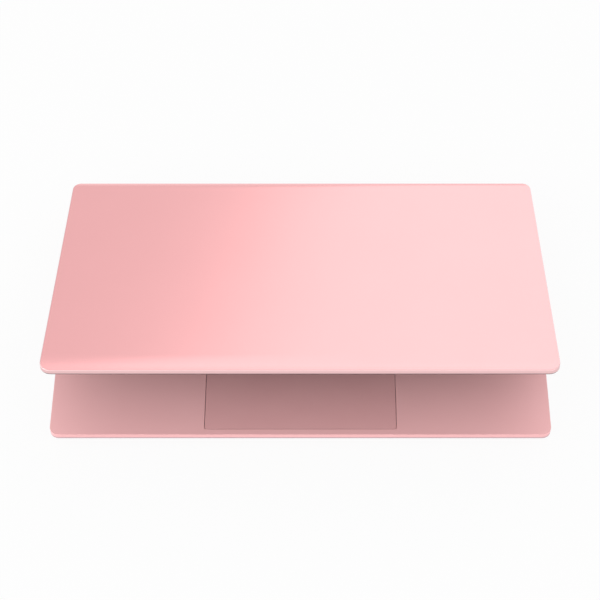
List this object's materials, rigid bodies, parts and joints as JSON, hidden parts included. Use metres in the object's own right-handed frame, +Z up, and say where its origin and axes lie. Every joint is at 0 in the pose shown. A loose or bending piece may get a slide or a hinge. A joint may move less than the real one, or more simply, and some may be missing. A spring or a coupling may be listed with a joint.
{
  "type": "laptop computer",
  "caption": "Slim clamshell laptop with a satin metal case, thin lid on a friction hinge, full keyboard and a wide centred touchpad.",
  "frame": {"origin": "centre of the footprint, on the surface the rubber feet stand on", "axes": "+X along the width to the right as the user sees it, +Y away from the user to the hinge side, +Z up"},
  "size_m": [0.325, 0.209, 0.0746],
  "materials": {
    "pink_metal": "satin anodised rose pink",
    "pad_surface": "satin etched glass, rose pink",
    "key_plastic": "fine matt pale rose plastic with printed legends",
    "key_links": "natural plastic",
    "rubber_dome": "translucent silicone",
    "black_rubber": "matt",
    "black_plastic": "fine matt",
    "screen_glass": "display panel with anti-glare face",
    "lens_glass": "gloss",
    "steel": "plated",
    "copper": "bright copper",
    "green_board": "solder mask",
    "battery_wrap": "pouch foil"
  },
  "bodies": {
    "base": {"top_case": "pink_metal", "bottom_cover": "pink_metal", "key_frame": "pink_metal", "keyboard_plate": "steel", "key_membrane": "key_links", "key_domes": "rubber_dome", "scissor_links": "key_links", "touchpad_bracket": "steel", "touchpad_switch": "black_plastic", "mainboard": "green_board", "board_screws": "steel", "board_chips": "black_plastic", "memory_module": "green_board", "solid_state_drive": "green_board", "wireless_card": "green_board", "side_board": "green_board", "ribbon_cable": "key_links", "fan_housing": "black_plastic", "heat_pipe": "copper", "heat_fins": "copper", "battery_frame": "black_plastic", "battery_cells": "battery_wrap", "speakers": "black_plastic", "usb_a_ports": "steel", "usb_c_port": "steel", "video_port": "steel", "audio_jack": "black_plastic", "card_slot": "steel", "left_hinge_bracket": "steel", "right_hinge_bracket": "steel", "front_feet": "black_rubber", "rear_foot": "black_rubber", "bottom_screws": "steel", "display_cable_tail": "black_plastic"},
    "lid": {"lid_cover": "pink_metal", "screen_bezel": "black_plastic", "display_panel": "screen_glass", "hinge_cover": "black_plastic", "left_hinge_arm": "steel", "right_hinge_arm": "steel", "hinge_nuts": "steel", "camera_board": "green_board", "camera_lens": "lens_glass", "lid_bumpers": "black_rubber", "display_cable": "black_plastic"},
    "touchpad": {"touchpad": "pad_surface"},
    "fan": {"fan_rotor": "black_plastic"},
    "function_keys": {"function_keys": "key_plastic"},
    "power_key": {"power_key": "key_plastic"},
    "number_keys": {"number_keys": "key_plastic"},
    "backspace_key": {"backspace_key": "key_plastic"},
    "upper_letter_keys": {"upper_letter_keys": "key_plastic"},
    "home_letter_keys": {"home_letter_keys": "key_plastic"},
    "enter_key": {"enter_key": "key_plastic"},
    "lower_letter_keys": {"lower_letter_keys": "key_plastic"},
    "left_shift_key": {"left_shift_key": "key_plastic"},
    "right_shift_key": {"right_shift_key": "key_plastic"},
    "bottom_keys": {"bottom_keys": "key_plastic"},
    "space_bar": {"space_bar": "key_plastic"},
    "arrow_keys": {"arrow_keys": "key_plastic"}
  },
  "joints": [
    {"name": "lid_hinge", "type": "hinge", "parent": "base", "child": "lid", "pos_m": [0, 0.0995, 0.014], "axis": [-1, 0, 0], "range_deg": [-16.3, 113.7]},
    {"name": "touchpad_press", "type": "hinge", "parent": "base", "child": "touchpad", "pos_m": [0, -0.0278, 0.01195], "axis": [1, 0, 0], "range_deg": [0, 0.24], "stiffness_Nm_per_rad": 20, "springref_deg": -0.17},
    {"name": "fan_spin", "type": "hinge", "parent": "base", "child": "fan", "pos_m": [-0.1, 0.057, 0.005], "axis": [0, 0, 1], "continuous": true},
    {"name": "function_press", "type": "slide", "parent": "base", "child": "function_keys", "axis": [0, 0, -1], "range_m": [0, 0.0012], "stiffness_N_per_m": 500, "springref_m": -0.0005, "deforming": ["key_domes", "scissor_links"]},
    {"name": "power_press", "type": "slide", "parent": "base", "child": "power_key", "axis": [0, 0, -1], "range_m": [0, 0.0012], "stiffness_N_per_m": 500, "springref_m": -0.0005, "deforming": ["key_domes", "scissor_links"]},
    {"name": "number_press", "type": "slide", "parent": "base", "child": "number_keys", "axis": [0, 0, -1], "range_m": [0, 0.0012], "stiffness_N_per_m": 500, "springref_m": -0.0005, "deforming": ["key_domes", "scissor_links"]},
    {"name": "backspace_press", "type": "slide", "parent": "base", "child": "backspace_key", "axis": [0, 0, -1], "range_m": [0, 0.0012], "stiffness_N_per_m": 500, "springref_m": -0.0005, "deforming": ["key_domes", "scissor_links"]},
    {"name": "upper_letter_press", "type": "slide", "parent": "base", "child": "upper_letter_keys", "axis": [0, 0, -1], "range_m": [0, 0.0012], "stiffness_N_per_m": 500, "springref_m": -0.0005, "deforming": ["key_domes", "scissor_links"]},
    {"name": "home_letter_press", "type": "slide", "parent": "base", "child": "home_letter_keys", "axis": [0, 0, -1], "range_m": [0, 0.0012], "stiffness_N_per_m": 500, "springref_m": -0.0005, "deforming": ["key_domes", "scissor_links"]},
    {"name": "enter_press", "type": "slide", "parent": "base", "child": "enter_key", "axis": [0, 0, -1], "range_m": [0, 0.0012], "stiffness_N_per_m": 500, "springref_m": -0.0005, "deforming": ["key_domes", "scissor_links"]},
    {"name": "lower_letter_press", "type": "slide", "parent": "base", "child": "lower_letter_keys", "axis": [0, 0, -1], "range_m": [0, 0.0012], "stiffness_N_per_m": 500, "springref_m": -0.0005, "deforming": ["key_domes", "scissor_links"]},
    {"name": "left_shift_press", "type": "slide", "parent": "base", "child": "left_shift_key", "axis": [0, 0, -1], "range_m": [0, 0.0012], "stiffness_N_per_m": 500, "springref_m": -0.0005, "deforming": ["key_domes", "scissor_links"]},
    {"name": "right_shift_press", "type": "slide", "parent": "base", "child": "right_shift_key", "axis": [0, 0, -1], "range_m": [0, 0.0012], "stiffness_N_per_m": 500, "springref_m": -0.0005, "deforming": ["key_domes", "scissor_links"]},
    {"name": "bottom_press", "type": "slide", "parent": "base", "child": "bottom_keys", "axis": [0, 0, -1], "range_m": [0, 0.0012], "stiffness_N_per_m": 500, "springref_m": -0.0005, "deforming": ["key_domes", "scissor_links"]},
    {"name": "space_bar_press", "type": "slide", "parent": "base", "child": "space_bar", "axis": [0, 0, -1], "range_m": [0, 0.0012], "stiffness_N_per_m": 500, "springref_m": -0.0005, "deforming": ["key_domes", "scissor_links"]},
    {"name": "arrow_press", "type": "slide", "parent": "base", "child": "arrow_keys", "axis": [0, 0, -1], "range_m": [0, 0.0012], "stiffness_N_per_m": 500, "springref_m": -0.0005, "deforming": ["key_domes", "scissor_links"]}
  ]
}
